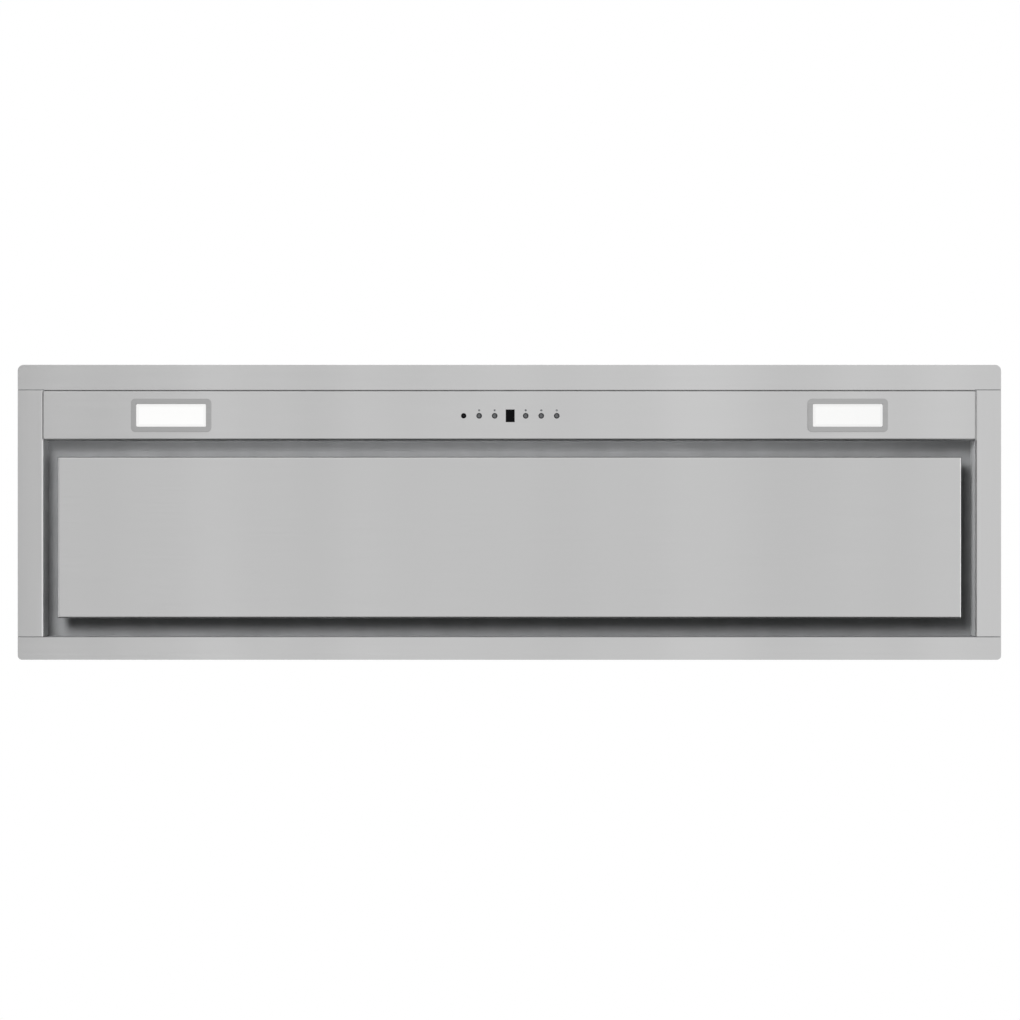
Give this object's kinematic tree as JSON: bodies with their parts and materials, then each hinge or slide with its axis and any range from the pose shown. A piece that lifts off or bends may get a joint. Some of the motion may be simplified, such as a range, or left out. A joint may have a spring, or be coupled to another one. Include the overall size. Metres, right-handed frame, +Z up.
{
  "type": "built-in range hood",
  "caption": "Built-in canopy range hood with a brushed steel frame, drop-down perimeter suction panel, push-button fascia with lamps and display, blower and round duct collar.",
  "frame": {"origin": "Middle of the underside, level with the faces of the lamp bezels, the lowest surface.", "axes": "+X to the right along the width, +Y from the user to the wall, +Z up along the duct collar."},
  "size_m": [0.9, 0.27, 0.3042],
  "materials": {
    "brushed_stainless": "brushed along its length, satin",
    "bezel_steel": "fine satin, a little darker than the frame",
    "galvanised_steel": "zinc coated, faint spangle",
    "bright_steel": "zinc plated, bright",
    "motor_paint": "grey enamel, semi-gloss",
    "black_plastic": "moulded, fine texture",
    "white_plastic": "moulded, matt",
    "damper_aluminium": "rolled sheet, satin",
    "filter_mesh": "layers of expanded mesh",
    "button_metal": "turned, satin",
    "lamp_diffuser": "frosted, lit from behind",
    "smoked_window": "smoked, polished",
    "sensor_lens": "smoked, polished",
    "light_pipe": "clear rod end, satin",
    "circuit_board": "green solder resist",
    "wire_sheath": "smooth sheath"
  },
  "bodies": {
    "root": {"front_rail": "brushed_stainless", "rear_rail": "brushed_stainless", "left_rail": "brushed_stainless", "right_rail": "brushed_stainless", "control_fascia": "brushed_stainless", "intake_tray": "brushed_stainless", "chassis_wrap": "galvanised_steel", "chassis_end_left": "galvanised_steel", "chassis_end_right": "galvanised_steel", "air_baffle": "galvanised_steel", "motor_housing": "galvanised_steel", "housing_end_left": "galvanised_steel", "housing_end_right": "galvanised_steel", "outlet_collar": "white_plastic", "damper_pin": "bright_steel", "blower_scroll_left": "black_plastic", "blower_scroll_right": "black_plastic", "motor_case": "motor_paint", "motor_bracket": "galvanised_steel", "electronics_box": "galvanised_steel", "electronics_cover": "galvanised_steel", "main_board": "circuit_board", "capacitor": "white_plastic", "terminal_block": "white_plastic", "cable_gland": "black_plastic", "control_holder": "black_plastic", "control_board": "circuit_board", "button_switches": "black_plastic", "display_module": "black_plastic", "display_window": "smoked_window", "sensor_ring": "black_plastic", "sensor_lens": "sensor_lens", "indicator_pipes": "light_pipe", "lamp_bezel_left": "bezel_steel", "lamp_bezel_right": "bezel_steel", "lamp_lens_left": "lamp_diffuser", "lamp_lens_right": "lamp_diffuser", "lamp_bodies": "damper_aluminium", "hinge_brackets": "galvanised_steel", "hinge_pins": "bright_steel", "catch_magnets": "black_plastic", "filter_frames": "damper_aluminium", "filter_meshes": "filter_mesh", "inner_wiring": "wire_sheath", "assembly_screws": "bright_steel"},
    "panel": {"panel_skin": "brushed_stainless", "panel_stiffeners": "galvanised_steel", "hinge_arms": "galvanised_steel", "catch_strikes": "galvanised_steel"},
    "rotor": {"impeller": "black_plastic", "motor_shaft": "bright_steel"},
    "flap_left": {"damper_flap_left": "damper_aluminium"},
    "flap_right": {"damper_flap_right": "damper_aluminium"},
    "light_button": {"light_button": "button_metal"},
    "timer_button": {"timer_button": "button_metal"},
    "speed_down_button": {"speed_down_button": "button_metal"},
    "speed_up_button": {"speed_up_button": "button_metal"},
    "power_button": {"power_button": "button_metal"},
    "latch_left": {"filter_latch_left": "black_plastic"},
    "latch_right": {"filter_latch_right": "black_plastic"}
  },
  "joints": [
    {"name": "panel_hinge", "type": "hinge", "parent": "root", "child": "panel", "pos_m": [0, 0.092, 0.0172], "axis": [1, 0, 0], "range_deg": [0, 90]},
    {"name": "impeller_spin", "type": "hinge", "parent": "root", "child": "rotor", "pos_m": [0, 0.028, 0.1752], "axis": [1, 0, 0], "continuous": true},
    {"name": "flap_left_hinge", "type": "hinge", "parent": "root", "child": "flap_left", "pos_m": [0, 0, 0.2732], "axis": [0, 1, 0], "range_deg": [0, 75]},
    {"name": "flap_right_hinge", "type": "hinge", "parent": "root", "child": "flap_right", "pos_m": [0, 0, 0.2732], "axis": [0, -1, 0], "range_deg": [0, 75]},
    {"name": "light_press", "type": "slide", "parent": "root", "child": "light_button", "axis": [0, 0, 1], "range_m": [0, 0.001], "stiffness_N_per_m": 800, "springref_m": -0.0005},
    {"name": "timer_press", "type": "slide", "parent": "root", "child": "timer_button", "axis": [0, 0, 1], "range_m": [0, 0.001], "stiffness_N_per_m": 800, "springref_m": -0.0005},
    {"name": "speed_down_press", "type": "slide", "parent": "root", "child": "speed_down_button", "axis": [0, 0, 1], "range_m": [0, 0.001], "stiffness_N_per_m": 800, "springref_m": -0.0005},
    {"name": "speed_up_press", "type": "slide", "parent": "root", "child": "speed_up_button", "axis": [0, 0, 1], "range_m": [0, 0.001], "stiffness_N_per_m": 800, "springref_m": -0.0005},
    {"name": "power_press", "type": "slide", "parent": "root", "child": "power_button", "axis": [0, 0, 1], "range_m": [0, 0.001], "stiffness_N_per_m": 800, "springref_m": -0.0005},
    {"name": "latch_left_slide", "type": "slide", "parent": "root", "child": "latch_left", "axis": [0, 1, 0], "range_m": [0, 0.005], "stiffness_N_per_m": 500, "springref_m": -0.002},
    {"name": "latch_right_slide", "type": "slide", "parent": "root", "child": "latch_right", "axis": [0, 1, 0], "range_m": [0, 0.005], "stiffness_N_per_m": 500, "springref_m": -0.002}
  ]
}
